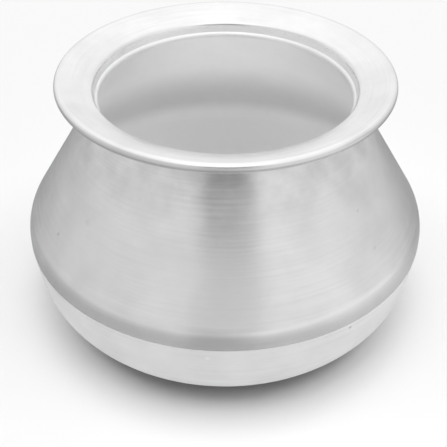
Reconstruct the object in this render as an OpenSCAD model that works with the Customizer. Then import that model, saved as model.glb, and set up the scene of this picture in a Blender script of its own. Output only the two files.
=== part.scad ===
// Handi pot: one aluminium sheet, spun into a round pot with a folded neck, a flared rim and a rolled edge.
// The half section of the sheet is a path that bends round a few circles, and it is turned about the axis.
// All sizes are in millimetres. The origin is the middle of the flat base, and +Z is up.

/* [Sheet] */
// Height from the flat base to the top of the rolled edge
height = 195.5; // [175:0.5:230]
// Thickness of the sheet
wall = 2; // [1.2:0.1:3]

/* [Bottom] */
// Diameter of the flat part of the base
base_d = 185; // [150:1:210]
// Outside radius of the bend from the base into the lower wall, at most what fits beside the base
bottom_round = 55; // [40:0.5:62]
// Least width by which the lower wall still leans out above that bend
lower_lean_w = 2; // [1:0.1:10]
// Height of the crease where the lower wall ends
crease_h = 70.5; // [60:0.5:85]
// Outside radius of the crease
crease_round = 3; // [2.5:0.1:6]

/* [Belly] */
// Diameter over the belly, the widest part of the pot
belly_d = 300.5; // [280:0.5:330]
// Height of the upright band between the crease and the bend into the shoulder
band_h = 3.5; // [0:0.5:20]
// Outside radius of that bend
belly_round = 28; // [10:0.5:50]

/* [Neck] */
// Clear diameter of the mouth, inside the neck fold
mouth_d = 181; // [160:1:190]
// Depth of the neck fold below the top of the rolled edge
neck_depth = 17.3; // [16:0.1:26]
// Inside radius of the neck fold
fold_round = 1; // [0.6:0.1:2]
// Width of the small step between the neck fold and the throat
step_w = 2; // [1.6:0.1:5]
// Angle of that step from level
step_angle = 40; // [20:1:55]
// Radius of the hollow corner between the step and the throat
step_round = 0.8; // [0.4:0.1:1.2]
// Angle by which the throat leans outwards from upright
throat_lean = 13.5; // [0:0.5:25]

/* [Rim] */
// Diameter over the rolled edge
rim_d = 240; // [225:1:280]
// Depth of the middle of the bend from the throat into the flange, below the top of the rolled edge
crest_depth = 11; // [9:0.1:13]
// Inside radius of that bend
crest_round = 2.5; // [1:0.1:4]
// Radius of the gentle crown across the flange
crown_round = 90; // [60:1:400]
// Thickness of the rolled edge
roll_d = 7; // [6.5:0.1:10]
// Angle through which the edge is rolled under the flange
roll_turn = 275; // [180:5:285]

/* [Quality] */
// Largest gap between a bend and the chord that stands for it
chord_gap = 0.15; // [0.02:0.01:0.3]
// Largest angle that one chord may span
chord_turn = 15; // [5:1:20]
// Number of facets round the pot
facets = 64; // [48:4:180]

/* [Hidden] */
aluminium = [0.80, 0.81, 0.82];
// Points nearer than this are one point
touch = 0.001;

// Direction of a heading, and the direction to its left
function along(a) = [cos(a), sin(a)];
function left_of(a) = [-sin(a), cos(a)];

// A bend is [centre, radius of the sheet's outer face]: above zero it turns left, below zero it turns right.
// Heading of the straight run that touches bend p and then bend q
function heading(p, q) =
    let (d = q[0] - p[0], lean = (q[1] - p[1]) / norm(d))
    atan2(d[1], d[0]) - asin(max(-1, min(1, lean)));

// Centre of the bend of radius rq that follows bend p after a straight run of heading a,
// placed so that its own distance from the pot's axis (axis 0) or its height (axis 1) is at
function follow(p, rq, a, axis, at) =
    let (c = p[0] + (rq - p[1]) * left_of(a))
    c + along(a) * (at - c[axis]) / along(a)[axis];

// Point at distance dp from point p and dq from point q, on the right of the line from p to q
function meet(p, dp, q, dq) =
    let (line = q - p, d = norm(line), x = (dp * dp - dq * dq + d * d) / (2 * d), y = sqrt(dp * dp - x * x))
    p + (x * line + y * [line[1], -line[0]]) / d;

// The bends, from the base to the rolled edge
bottom_r = min(bottom_round, (belly_d - base_d) / 2 - lower_lean_w);
bottom = [[base_d / 2, bottom_r], bottom_r];
crease = [[belly_d / 2 - crease_round, crease_h], crease_round];
belly = [[belly_d / 2 - belly_round, crease_h + band_h], belly_round];
fold = [[mouth_d / 2 + wall + fold_round, height - neck_depth], -fold_round];
step_r = mouth_d / 2 + step_w - step_round;
step = [follow(fold, step_round + wall, step_angle, 0, step_r), step_round + wall];
crest = [follow(step, -crest_round, 90 - throat_lean, 1, height - crest_depth), -crest_round];
roll = [[(rim_d - roll_d) / 2, height - roll_d / 2], wall - roll_d / 2];
crown = [meet(crest[0], crown_round + crest[1], roll[0], crown_round + roll[1]), -crown_round];

bends = [bottom, crease, belly, fold, step, crest, crown, roll];
last = len(bends) - 1;

// Headings between the bends: level along the base, tangent from bend to bend, and on round the roll
runs = concat([0], [for (i = [0:last - 1]) heading(bends[i], bends[i + 1])]);
turns = concat(runs, [runs[last] - roll_turn]);

// Angle that one chord of a bend spans, finer on a wide bend
function chord_angle(radius) = min(chord_turn, 2 * acos(1 - chord_gap / radius));

// Points of one face of the sheet on bend i: depth 0 is the outer face, depth wall is the inner face
function bend_points(i, depth) =
    let (turn = turns[i + 1] - turns[i], chords = ceil(abs(turn) / chord_angle(abs(bends[i][1]) + wall)))
    [for (k = [0:chords]) bends[i][0] - (bends[i][1] - depth) * left_of(turns[i] + turn * k / chords)];

// One face from the axis to the cut edge, without the point that two bends share where they touch
function face(depth) =
    let (points = concat([[0, depth]], [for (i = [0:last]) each bend_points(i, depth)]))
    [for (i = [0:len(points) - 1]) if (i == 0 || norm(points[i] - points[i - 1]) > touch) points[i]];

// Half section of the sheet: out along the outer face and back along the inner face
module sheet_section() {
    inner = face(wall);
    polygon(concat(face(0), [for (i = [len(inner) - 1:-1:0]) inner[i]]));
}

// The pot: the sheet turned about its axis
module pot() {
    color(aluminium)
        rotate_extrude($fn = facets)
            sheet_section();
}

pot();
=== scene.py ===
# A spun aluminium handi pot, standing empty on a white studio floor.
# Lengths are in metres, +Z is up, and the photograph looks along +Y and down into the mouth.
from math import asin, atan2, ceil, cos, pi, radians, sin, tau

import bmesh
import bpy
from mathutils import Matrix, Vector


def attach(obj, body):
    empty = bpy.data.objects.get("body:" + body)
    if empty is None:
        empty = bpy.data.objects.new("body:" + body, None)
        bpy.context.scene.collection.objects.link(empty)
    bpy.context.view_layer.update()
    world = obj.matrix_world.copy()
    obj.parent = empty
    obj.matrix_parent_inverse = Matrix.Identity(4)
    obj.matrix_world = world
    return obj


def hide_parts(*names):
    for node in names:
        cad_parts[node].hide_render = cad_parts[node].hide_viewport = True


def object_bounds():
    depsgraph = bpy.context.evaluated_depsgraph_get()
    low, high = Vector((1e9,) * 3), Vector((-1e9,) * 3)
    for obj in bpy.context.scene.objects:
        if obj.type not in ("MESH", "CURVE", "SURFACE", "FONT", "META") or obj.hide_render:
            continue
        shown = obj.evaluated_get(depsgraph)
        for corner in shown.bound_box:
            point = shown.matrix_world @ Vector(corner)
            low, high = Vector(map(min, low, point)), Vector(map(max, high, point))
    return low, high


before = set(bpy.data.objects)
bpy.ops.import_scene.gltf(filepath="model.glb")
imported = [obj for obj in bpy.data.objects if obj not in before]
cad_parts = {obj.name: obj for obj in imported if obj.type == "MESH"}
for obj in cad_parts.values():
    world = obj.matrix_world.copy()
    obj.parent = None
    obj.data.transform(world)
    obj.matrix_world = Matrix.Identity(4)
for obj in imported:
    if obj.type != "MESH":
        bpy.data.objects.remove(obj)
cad_low, cad_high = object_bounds()


# The pot
# One round blank of 2 mm aluminium, spun over a former: flat base, round bottom, crease, belly and conical
# shoulder, folded in at the neck and out again as the throat and the flange, with its edge rolled under.
# The metal stays bare: turned bright outside and on the flange, satin inside, and matt below the crease.
sheet = 0.0020
height = cad_high.z
belly_radius = cad_high.x
base_radius = 0.0925
bottom_round = 0.055
crease_height, crease_round = 0.0705, 0.003
belly_height, belly_round = 0.0740, 0.028
mouth_radius, neck_depth, fold_round = 0.0905, 0.0173, 0.001
step_width, step_round, step_lean = 0.0020, 0.0008, radians(40)
throat_lean = radians(13.5)
crest_depth, crest_round = 0.0110, 0.0025
crown_round = 0.090
rim_radius, roll_round, roll_turn = 0.120, 0.0035, radians(275)


def along(heading):
    """The direction of a heading in the half section: x is the distance from the axis, and y the height."""
    return Vector((cos(heading), sin(heading)))


def left_of(heading):
    """The direction to the left of a heading."""
    return Vector((-sin(heading), cos(heading)))


# A bend is its centre and the radius of the sheet's outer face, above zero where the sheet turns left
def touching(p, q):
    """Heading of the straight run that leaves bend p and meets bend q."""
    between = q[0] - p[0]
    return atan2(between.y, between.x) - asin((q[1] - p[1]) / between.length)


def following(p, radius, heading, axis, at):
    """The bend that a straight run from bend p leads to, with its centre at that distance or height."""
    start = p[0] + (radius - p[1]) * left_of(heading)
    return start + along(heading) * ((at - start[axis]) / along(heading)[axis]), radius


def joining(p, q, radius):
    """The bend of that radius that turns right and leads from bend p straight into bend q."""
    to_q = q[0] - p[0]
    from_p, from_q = radius + p[1], radius + q[1]
    on_line = (from_p**2 - from_q**2 + to_q.length_squared) / (2 * to_q.length)
    off_line = (from_p**2 - on_line**2) ** 0.5
    return p[0] + (on_line * to_q + off_line * Vector((to_q.y, -to_q.x))) / to_q.length, -radius


bottom = Vector((base_radius, bottom_round)), bottom_round
crease = Vector((belly_radius - crease_round, crease_height)), crease_round
belly = Vector((belly_radius - belly_round, belly_height)), belly_round
fold = Vector((mouth_radius + sheet + fold_round, height - neck_depth)), -fold_round
step = following(fold, step_round + sheet, step_lean, 0, mouth_radius + step_width - step_round)
crest = following(step, -crest_round, pi / 2 - throat_lean, 1, height - crest_depth)
roll = Vector((rim_radius - roll_round, height - roll_round)), sheet - roll_round
crown = joining(crest, roll, crown_round)
bends = [bottom, crease, belly, fold, step, crest, crown, roll]
headings = [0.0] + [touching(p, q) for p, q in zip(bends, bends[1:])]
headings.append(headings[-1] - roll_turn)

straight_step = 0.005
bend_step, bend_angle = 0.0016, radians(12)
shortest = 1e-6


def draw_face(bm, depth):
    """Draws one face of the sheet, at that depth under its outer face, from the axis to the cut edge."""
    end = bm.verts.new((0, 0, depth))
    for (centre, outer), start, stop in zip(bends, headings, headings[1:]):
        radius = outer - depth
        first = centre - radius * left_of(start)
        gap = Vector((first.x, 0, first.y)) - end.co
        pieces = ceil(gap.length / straight_step) if gap.length > shortest else 0
        for _ in range(pieces):
            end = bmesh.ops.extrude_vert_indiv(bm, verts=[end])["verts"][0]
            end.co += gap / pieces
        chord = min(bend_angle, bend_step / max(abs(radius), sheet))
        bent = bmesh.ops.spin(
            bm,
            geom=[end],
            cent=(centre.x, 0, centre.y),
            axis=(0, -1, 0),
            angle=stop - start,
            steps=ceil(abs(stop - start) / chord),
        )
        end = bent["geom_last"][0]
    return end


# Each vertex keeps how far along its face it lies from the axis, for the lathe marks
pot_mesh = bmesh.new()
run = pot_mesh.verts.layers.float.new("run")
edge_ends = []
for depth in (0.0, sheet):
    drawn = len(pot_mesh.verts)
    edge_ends.append(draw_face(pot_mesh, depth))
    pot_mesh.verts.ensure_lookup_table()
    face_line = pot_mesh.verts[drawn:]
    for before, after in zip(face_line, face_line[1:]):
        after[run] = before[run] + (after.co - before.co).length
bmesh.ops.contextual_create(pot_mesh, geom=edge_ends)

around = 240
bmesh.ops.spin(
    pot_mesh,
    geom=pot_mesh.verts[:] + pot_mesh.edges[:],
    cent=(0, 0, 0),
    axis=(0, 0, 1),
    angle=tau,
    steps=around,
    use_merge=True,
)
bmesh.ops.remove_doubles(pot_mesh, verts=pot_mesh.verts[:], dist=shortest)
bmesh.ops.recalc_face_normals(pot_mesh, faces=pot_mesh.faces[:])

# The turning map: across is the distance along the sheet, so its tangent lies across the lathe marks
turning = pot_mesh.loops.layers.uv.new("turning")
for face in pot_mesh.faces:
    face.smooth = True
    middle = face.calc_center_median()
    middle_angle = atan2(middle.y, middle.x)
    for loop in face.loops:
        x, y, _ = loop.vert.co
        on_axis = x * x + y * y <= shortest**2
        past_middle = 0.0 if on_axis else (atan2(y, x) - middle_angle + pi) % tau - pi
        loop[turning].uv = loop.vert[run], (middle_angle + past_middle) / tau
pot_data = bpy.data.meshes.new("spun_pot")
pot_mesh.to_mesh(pot_data)
pot_mesh.free()
pot = bpy.data.objects.new("spun_pot", pot_data)
bpy.context.scene.collection.objects.link(pot)


# The finishes are made of these shader nodes, on the pot's own coordinates and its turning map
def add(tree, kind, inputs=(), **settings):
    """A new shader node with these settings and with values or links on its inputs."""
    made = tree.nodes.new("ShaderNode" + kind)
    for name, value in settings.items():
        setattr(made, name, value)
    for name, value in dict(inputs).items():
        if isinstance(value, bpy.types.NodeSocket):
            tree.links.new(value, made.inputs[name])
        else:
            made.inputs[name].default_value = value
    return made


def plus(tree, first, second):
    """One value plus another."""
    return add(tree, "Math", {0: first, 1: second}, operation="ADD").outputs[0]


def times(tree, first, second):
    """One value times another."""
    return add(tree, "Math", {0: first, 1: second}, operation="MULTIPLY").outputs[0]


def one_less(tree, share):
    """What is left of one when that share is taken away."""
    return add(tree, "Math", {0: 1, 1: share}, operation="SUBTRACT").outputs[0]


def eased(tree, value, between, levels):
    """Goes softly from the first level to the second while the value goes between those two limits."""
    start, stop = between
    low, high = levels
    ranged = {"Value": value, "From Min": start, "From Max": stop, "To Min": low, "To Max": high}
    return add(tree, "MapRange", ranged, interpolation_type="SMOOTHSTEP").outputs["Result"]


def spread(tree, pattern, low, high):
    """Stretches a noise pattern, which stays near its middle, to run from low to high."""
    ranged = {"Value": pattern, "From Min": 0.3, "From Max": 0.7, "To Min": low, "To Max": high}
    return add(tree, "MapRange", ranged).outputs["Result"]


def in_parts(tree, vector):
    """The X, Y and Z of a place or a direction."""
    return add(tree, "SeparateXYZ", {0: vector}).outputs


def on_piece(tree):
    """The place on the piece, in its own coordinates."""
    return add(tree, "TexCoord").outputs["Object"]


def outwards(tree):
    """The level way from the pot's axis to the place on it."""
    place = in_parts(tree, on_piece(tree))
    return add(tree, "CombineXYZ", {"X": place["X"], "Y": place["Y"]}).outputs[0]


def by_height(tree, between, levels):
    """Goes softly from one level to the other between two heights."""
    return eased(tree, in_parts(tree, on_piece(tree))["Z"], between, levels)


def by_radius(tree, between, levels):
    """Goes softly from one level to the other between two distances from the axis."""
    radius = add(tree, "VectorMath", {0: outwards(tree)}, operation="LENGTH").outputs["Value"]
    return eased(tree, radius, between, levels)


ring_spacing, ring_wander = 0.0022, 1.5


def lathe_rings(tree):
    """Turning marks: noise that changes across every mark and only slowly round the pot."""
    way_out = add(tree, "VectorMath", {0: outwards(tree)}, operation="NORMALIZE").outputs[0]
    turned_by = in_parts(tree, way_out)
    on_sheet = in_parts(tree, add(tree, "UVMap", uv_map="turning").outputs[0])
    mark = {"X": times(tree, on_sheet["X"], 1 / ring_spacing)}
    mark["Y"] = times(tree, turned_by["X"], ring_wander)
    mark["Z"] = times(tree, turned_by["Y"], ring_wander)
    grooves = {"Scale": 1.0, "Detail": 3.0, "Roughness": 0.6}
    grooves["Vector"] = add(tree, "CombineXYZ", mark).outputs[0]
    return add(tree, "TexNoise", grooves).outputs[0]


def clouding(tree, size):
    """Patches of that size where the metal was rubbed more or less."""
    patches = {"Vector": on_piece(tree), "Scale": 1 / size, "Detail": 3.0}
    return add(tree, "TexNoise", patches).outputs[0]


# A darker ring is smoother, by so many times its share of tone; patches vary in roughness by a tenth
ring_polish, patch_polish = 4, 0.1
patch_size, zone_size = 0.030, 0.090


def spun_finish(name, metallic, roughness, grain, tone, rings, clouds, groove):
    """Gives the pot a finish whose tone varies by those shares in rings and clouds; groove is a depth."""
    finish = bpy.data.materials.new(name)
    finish.use_nodes = True
    tree = finish.node_tree
    shader = tree.nodes["Principled BSDF"]
    if callable(metallic):
        tree.links.new(metallic(tree), shader.inputs["Metallic"])
    else:
        shader.inputs["Metallic"].default_value = metallic
    shader.inputs["Anisotropic"].default_value = grain

    # The rings stand out from their middle value of a half, strongly in some zones and hardly in others
    patches, zones = clouding(tree, patch_size), clouding(tree, zone_size)
    marks = times(tree, plus(tree, lathe_rings(tree), -0.5), spread(tree, zones, 0.1, 1.9))
    marks = plus(tree, marks, 0.5)

    ringed = spread(tree, marks, 1 - rings, 1 + rings)
    clouded = spread(tree, patches, 1 - clouds, 1 + clouds)
    shade = times(tree, times(tree, ringed, clouded), tone(tree))
    colour = add(tree, "CombineColor", {channel: shade for channel in ("Red", "Green", "Blue")})
    tree.links.new(colour.outputs[0], shader.inputs["Base Color"])

    # Each finish stays on one side of a roughness of 0.274, where the render's noise filter leaves streaks
    ringed = spread(tree, marks, 1 - ring_polish * rings, 1 + ring_polish * rings)
    rubbed = spread(tree, patches, roughness * (1 - patch_polish), roughness * (1 + patch_polish))
    tree.links.new(times(tree, ringed, rubbed), shader.inputs["Roughness"])

    relief = add(tree, "Bump", {"Strength": 1.0, "Distance": groove, "Height": marks})
    tree.links.new(relief.outputs[0], shader.inputs["Normal"])
    across = add(tree, "Tangent", direction_type="UV_MAP", uv_map="turning")
    tree.links.new(across.outputs[0], shader.inputs["Tangent"])
    pot_data.materials.append(finish)


def nicked(tree, tone, nicks):
    """The tone with small nicks in it: each is a place, how far it reaches and how dark it is."""
    for place, reach, dark in nicks:
        apart = add(tree, "VectorMath", {0: on_piece(tree), 1: place}, operation="DISTANCE")
        tone = times(tree, tone, eased(tree, apart.outputs["Value"], (0, reach), (1 - dark, 1)))
    return tone


# Painted shade: the colour darkens on the outside of the rolled edge and, in patches, on the shoulder under
# the rim.
roll_edge_shade, under_rim_shade, shade_patch_size = 0.18, 0.12, 0.020


def shaded_by_rim(tree, tone):
    """The tone with painted shade in it: along the outside of the rolled edge, and in patches on the
    shoulder up to the neck.
    """
    outermost = by_radius(tree, (0.1192, 0.1200), (0, roll_edge_shade))
    on_roll = by_height(tree, (0.182, 0.186), (0, 1))
    up_shoulder = by_height(tree, (0.120, 0.172), (0, under_rim_shade))
    below_fold = by_height(tree, (0.1765, 0.1790), (1, 0))
    patchy = spread(tree, clouding(tree, shade_patch_size), -0.1, 1.6)
    near_neck = times(tree, times(tree, up_shoulder, below_fold), patchy)
    for rim_shade in (times(tree, outermost, on_roll), near_neck):
        tone = times(tree, tone, one_less(tree, rim_shade))
    return tone


def used_outside(tree):
    """The outside's tone: lighter at the neck fold, with painted shade on and under the rim, and a few
    nicks on the shoulder.
    """
    nicks = (
        ((-0.1166, -0.0709, 0.1047), 0.0020, 0.28),
        ((-0.0930, -0.0828, 0.1246), 0.0044, 0.07),
        ((0.0893, -0.0795, 0.1329), 0.0018, 0.15),
        ((0.1022, -0.0879, 0.1075), 0.0028, 0.08),
    )
    rubbed = by_radius(tree, (0.0925, 0.0950), (0.97, 0.88))
    return nicked(tree, shaded_by_rim(tree, rubbed), nicks)


def inside_with_painted_shade(tree):
    """The inside's tone, with painted shade: darker in the middle of the base, darkest in a band round the
    belly, and full again towards the neck.
    """
    # Painted shade inside: a darker band round the belly, the base's middle darkened where the lamps light
    # it most, lighter again towards the neck.
    belly_band_shade = by_height(tree, (0.070, 0.094), (0.98, 0.72))
    band_fading = by_height(tree, (0.098, 0.148), (1.0, 1.37))
    base_middle_shade = by_radius(tree, (0.030, 0.085), (0.76, 1))
    return times(tree, times(tree, belly_band_shade, band_fading), base_middle_shade)


def used_below(tree):
    """The lower wall's tone, with one nick and one rubbed spot."""
    nick = (0.0856, -0.1228, 0.0661), 0.0020, 0.45
    rubbed_spot = (-0.0112, -0.1487, 0.0622), 0.0024, -0.10
    return nicked(tree, 0.92, (nick, rubbed_spot))


def burnished(tree):
    """How metallic the inside looks: dull on the base, and bright where the tool closed the cone."""
    return by_height(tree, (0.050, 0.140), (0.0, 0.82))


spun_finish(
    "turned_aluminium",
    metallic=1.0,
    roughness=0.22,
    grain=0.5,
    tone=used_outside,
    rings=0.025,
    clouds=0.045,
    groove=18e-6,
)
spun_finish(
    "satin_aluminium",
    metallic=burnished,
    roughness=0.46,
    grain=0.3,
    tone=inside_with_painted_shade,
    rings=0.002,
    clouds=0.02,
    groove=0.5e-6,
)
spun_finish(
    "matt_aluminium",
    metallic=0.20,
    roughness=0.60,
    grain=0.0,
    tone=used_below,
    rings=0.026,
    clouds=0.035,
    groove=16e-6,
)
turned_slot, satin_slot, matt_slot = range(3)
throat_top = crest[0].y
level_face = 0.99
for face in pot_data.polygons:
    outward = face.normal.x * face.center.x + face.normal.y * face.center.y
    inside = face.center.z < throat_top and (outward < 0 or face.normal.z > level_face)
    below_crease = face.center.z < crease_height
    face.material_index = satin_slot if inside else matt_slot if below_crease else turned_slot
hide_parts("pot")
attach(pot, "root")


# The floor
# A plain white studio floor, level and matt. It keeps the pot's soft shadow, deepened by painted shadow
# where the two meet.
# The metal mirrors it in painted greys of light and shade: dark near the pot, in front of it and behind,
# and paler further out.
floor_size = 12.0
floor_mesh = bmesh.new()
bmesh.ops.create_grid(floor_mesh, x_segments=1, y_segments=1, size=floor_size / 2)
floor_data = bpy.data.meshes.new("floor")
floor_mesh.to_mesh(floor_data)
floor_mesh.free()
floor = bpy.data.objects.new("floor", floor_data)
bpy.context.scene.collection.objects.link(floor)
white = bpy.data.materials.new("white_floor")
white.use_nodes = True
tree = white.node_tree
tree.nodes.clear()
on_floor = on_piece(tree)
place = in_parts(tree, on_floor)
away = add(tree, "VectorMath", {0: on_floor}, operation="LENGTH").outputs["Value"]
sideways = add(tree, "Math", {0: place["X"]}, operation="ABSOLUTE").outputs[0]
off_middle = add(tree, "Math", {0: sideways, 1: away}, operation="DIVIDE").outputs[0]

# For the metal only, the floor's colour is painted light and shade: dark close by, in front and behind,
# paler far out and at the right, with a darker strip straight in front.
floor_painted_for_metal = 0.42
in_front = eased(tree, place["Y"], (-0.05, 0.12), (1, 0))
far_out = eased(tree, away, (0.2, 0.9), (0, 0.28))
at_back = eased(tree, place["Y"], (-0.1, 0.3), (0, -0.16))
front_right = times(tree, in_front, eased(tree, place["X"], (-0.2, 0.35), (-0.06, 0.10)))
front_strip = times(tree, in_front, eased(tree, off_middle, (0.08, 0.36), (-0.12, 0.03)))
front_strip = times(tree, front_strip, eased(tree, away, (0.2, 0.5), (0.4, 1)))
far_left = eased(tree, place["X"], (-1.2, -0.2), (-0.07, 0))
for part in (far_out, at_back, front_right, front_strip, far_left):
    floor_painted_for_metal = plus(tree, floor_painted_for_metal, part)

lighting_floor = 0.92
# A painted shadow in the floor's colour, seen by the camera, deepens the shadow where the pot meets the
# floor, most in front.
painted_shadow_under_pot = eased(tree, away, (0.115, 0.134), (0.55, 0))
painted_contact_shadow = times(tree, painted_shadow_under_pot, eased(tree, place["Y"], (-0.11, 0), (1, 0.35)))
seen_floor = times(tree, one_less(tree, painted_contact_shadow), eased(tree, away, (0.5, 1.5), (0.83, 0.90)))
ray = add(tree, "LightPath").outputs
unseen_floor = add(tree, "Mix", {"Factor": ray["Is Glossy Ray"], "A": lighting_floor, "B": floor_painted_for_metal})
floor_shade = {"Factor": ray["Is Camera Ray"], "A": unseen_floor.outputs["Result"], "B": seen_floor}
floor_colour = add(tree, "Mix", floor_shade).outputs["Result"]
add(tree, "OutputMaterial", {"Surface": add(tree, "BsdfDiffuse", {"Color": floor_colour}).outputs[0]})
floor_data.materials.append(white)


# The light
# Two broad lamps hang side by side overhead and cast one soft shadow. The pale room shows in the metal:
# a bright ceiling, a glow behind the pot, a paler wall at the right, and the dim place where the camera
# stands. Its walls also light the pot's sides a little.
lamp_strength, lamp_spread = 1.62, radians(46)
front_lean, side_lean = radians(2), radians(15)
for lamp_name, lean in (("overhead_left", -side_lean), ("overhead_right", side_lean)):
    lamp_data = bpy.data.lights.new(lamp_name, "SUN")
    lamp_data.energy = lamp_strength
    lamp_data.angle = lamp_spread
    lamp = bpy.data.objects.new(lamp_name, lamp_data)
    lamp.rotation_euler = (front_lean, lean, 0)
    lamp.visible_glossy = False
    bpy.context.scene.collection.objects.link(lamp)

room = bpy.data.worlds.new("room")
bpy.context.scene.world = room
room.use_nodes = True
room.cycles.sampling_method = "NONE"
sky = room.node_tree
sky.nodes.clear()
toward = in_parts(sky, add(sky, "TexCoord").outputs["Generated"])
to_camera = times(sky, toward["Y"], -1)
turn = add(sky, "Math", {0: toward["X"], 1: to_camera}, operation="ARCTAN2").outputs[0]
tilt = add(sky, "Math", {0: toward["Z"]}, operation="ARCSINE").outputs[0]


def within(angle, ends, edge):
    """One between two angles in degrees, fading to nothing over the edge at either end."""
    start, stop = ends
    rise = eased(sky, angle, (radians(start - edge), radians(start + edge)), (0, 1))
    fall = eased(sky, angle, (radians(stop - edge), radians(stop + edge)), (1, 0))
    return times(sky, rise, fall)


def panel(turns, turn_edge, tilts, tilt_edge, gain):
    """A soft panel between two turns, counted from the camera to the right, and two tilts above level."""
    return times(sky, times(sky, within(turn, turns, turn_edge), gain), within(tilt, tilts, tilt_edge))


ceiling = eased(sky, tilt, (radians(-10), radians(90)), (0.66, 1.13))
behind = eased(sky, toward["Y"], (0.1, 0.9), (0, 1))
glow = eased(sky, tilt, (radians(-5), radians(10)), (0, 0.16))
straight_behind = eased(sky, toward["Y"], (0.70, 0.95), (0, 0.10))
near_level = within(tilt, (-15, 13), 6)
right_wall = panel((22, 74), 10, (-40, 18), 15, 0.11)
low_front = panel((-18, 22), 9, (-50, 14), 10, -0.13)
camera_place = panel((-16, 22), 8, (26, 40), 5, -0.80)
left_of_camera = panel((-95, -16), 10, (24, 38), 4, -0.22)
left_wall = panel((-110, -50), 15, (-20, 15), 7, -0.03)
over_camera = panel((-45, 45), 15, (48, 80), 6, 0.22)
metal_sees = plus(sky, ceiling, times(sky, behind, glow))
metal_sees = plus(sky, metal_sees, times(sky, near_level, straight_behind))
for part in (right_wall, low_front, camera_place, left_of_camera, left_wall, over_camera):
    metal_sees = plus(sky, metal_sees, part)
metal_sees = add(sky, "Math", {0: metal_sees, 1: 0}, operation="MAXIMUM").outputs[0]

low_walls = eased(sky, tilt, (0, radians(35)), (0.40, 0.10))
low_walls = times(sky, low_walls, eased(sky, toward["X"], (-0.6, 0.9), (0.75, 1.65)))
white_light = 1, 1, 1, 1
backdrop, mirrored_room, lighting_room = [
    add(sky, "Background", {"Color": white_light, "Strength": strength}).outputs[0]
    for strength in (1.0, metal_sees, low_walls)
]
seen = add(sky, "LightPath").outputs
unseen = add(sky, "MixShader", {0: seen["Is Glossy Ray"], 1: lighting_room, 2: mirrored_room}).outputs[0]
light = add(sky, "MixShader", {0: seen["Is Camera Ray"], 1: unseen, 2: backdrop}).outputs[0]
add(sky, "OutputWorld", {"Surface": light})

# Light goes back and forth many times inside the pot
bpy.context.scene.cycles.glossy_bounces = 16
bpy.context.scene.cycles.diffuse_bounces = 16
bpy.context.scene.cycles.max_bounces = 24


# The camera
# It stands 0.56 m in front of the pot's axis and looks down into the mouth, very slightly turned about its
# own line of sight. Its lens and shift are those of the photograph, measured in the photograph's pixels.
photo_width, lens_length, off_centre = 447, 890.3, -1.5
stand_off, eye_height = 0.560, 0.4912
look_down, roll_over = radians(37.58), radians(0.3)
camera_data = bpy.data.cameras.new("camera")
camera_data.sensor_width = 36
camera_data.lens = lens_length / photo_width * camera_data.sensor_width
camera_data.shift_x = off_centre / photo_width
camera = bpy.data.objects.new("camera", camera_data)
camera.matrix_world = (
    Matrix.Translation((0, -stand_off, eye_height))
    @ Matrix.Rotation(pi / 2 - look_down, 4, "X")
    @ Matrix.Rotation(roll_over, 4, "Z")
)
bpy.context.scene.collection.objects.link(camera)
bpy.context.scene.camera = camera
bpy.context.scene.view_settings.view_transform = "Standard"
